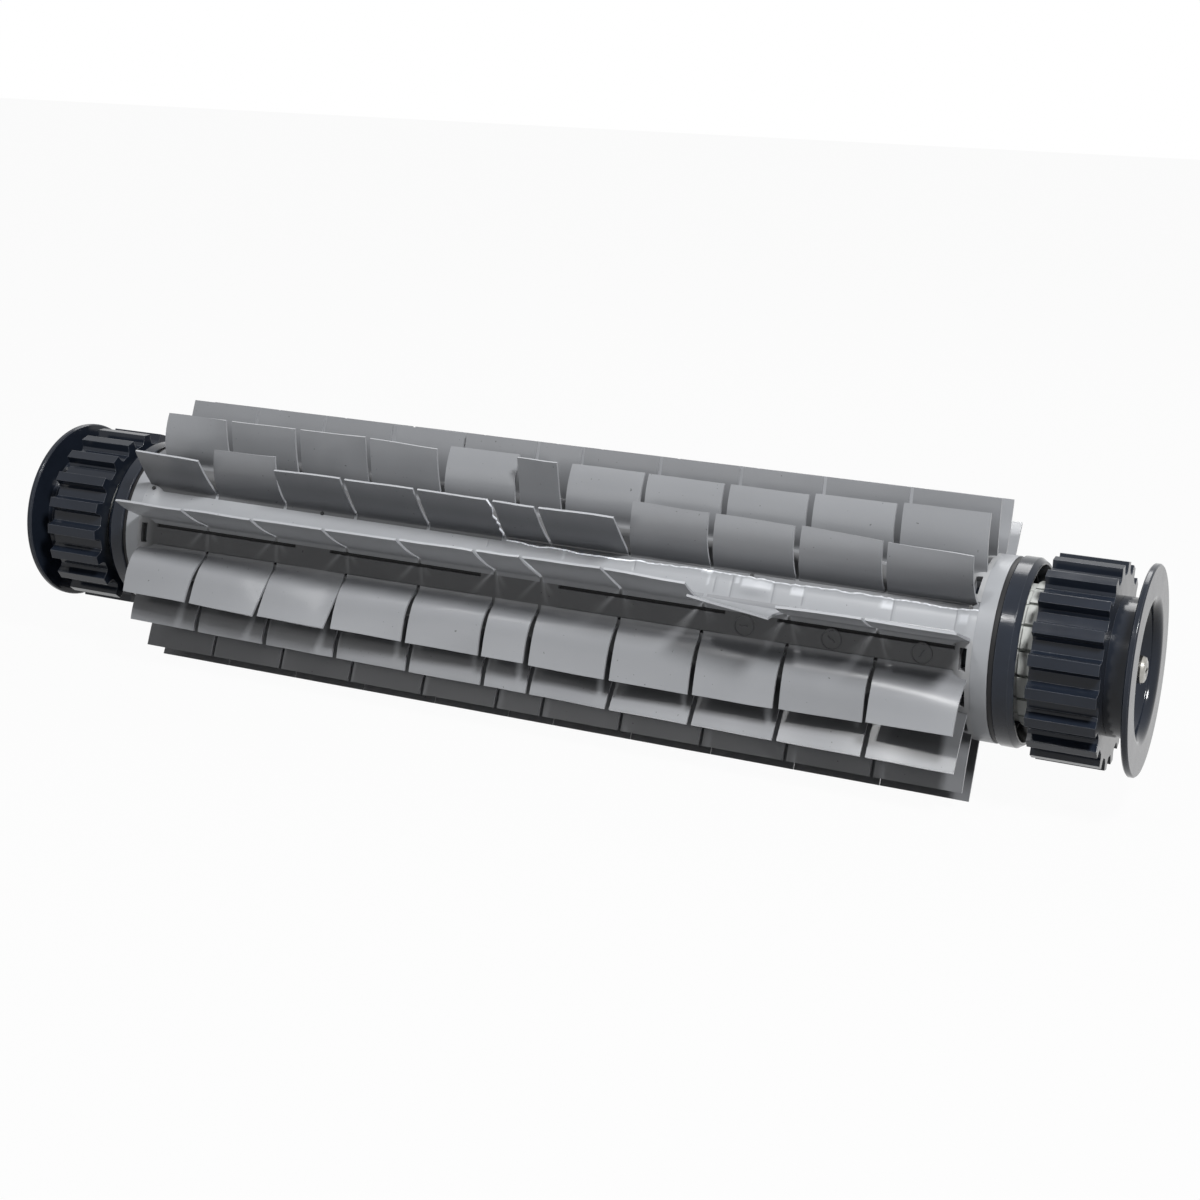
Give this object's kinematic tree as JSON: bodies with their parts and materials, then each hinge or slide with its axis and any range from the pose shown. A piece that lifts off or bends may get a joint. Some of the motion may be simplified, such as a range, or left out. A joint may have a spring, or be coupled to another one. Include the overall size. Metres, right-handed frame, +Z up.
{
  "type": "pool cleaner brush",
  "caption": "Finned scrubbing roller of a pool cleaner, with a toothed belt pulley, a bearing ring and an outer flange at each end, held by an axial screw.",
  "frame": {"origin": "the middle of the roller, on its axis", "axes": "+X along the roller's axis towards its right end, -Y to the front, +Z up as it lies on two fin rows"},
  "size_m": [0.4716, 0.1072, 0.11],
  "materials": {
    "grey_rubber": "satin",
    "grey_tube": "satin",
    "slate_plastic": "semi-gloss",
    "black_rubber": "matte",
    "white_plastic": "satin",
    "brass": "satin",
    "steel": "polished"
  },
  "bodies": {
    "roller": {"wheel_tube": "grey_tube", "brush_skin": "grey_rubber", "tube_plug_right": "slate_plastic", "threaded_insert_right": "brass", "seal_ring_right": "black_rubber", "guide_ring_right": "slate_plastic", "drive_pulley_right": "slate_plastic", "outer_flange_right": "slate_plastic", "washer_right": "steel", "screw_right": "steel", "tube_plug_left": "slate_plastic", "threaded_insert_left": "brass", "seal_ring_left": "black_rubber", "guide_ring_left": "slate_plastic", "drive_pulley_left": "slate_plastic", "outer_flange_left": "slate_plastic", "washer_left": "steel", "screw_left": "steel"},
    "bearing_right": {"bearing_right": "white_plastic"},
    "bearing_left": {"bearing_left": "white_plastic"}
  },
  "joints": [
    {"name": "bearing_right_spin", "type": "hinge", "parent": "roller", "child": "bearing_right", "pos_m": [0.19713, 0, 0], "axis": [1, 0, 0], "continuous": true},
    {"name": "bearing_left_spin", "type": "hinge", "parent": "roller", "child": "bearing_left", "pos_m": [-0.19713, 0, 0], "axis": [1, 0, 0], "continuous": true}
  ]
}
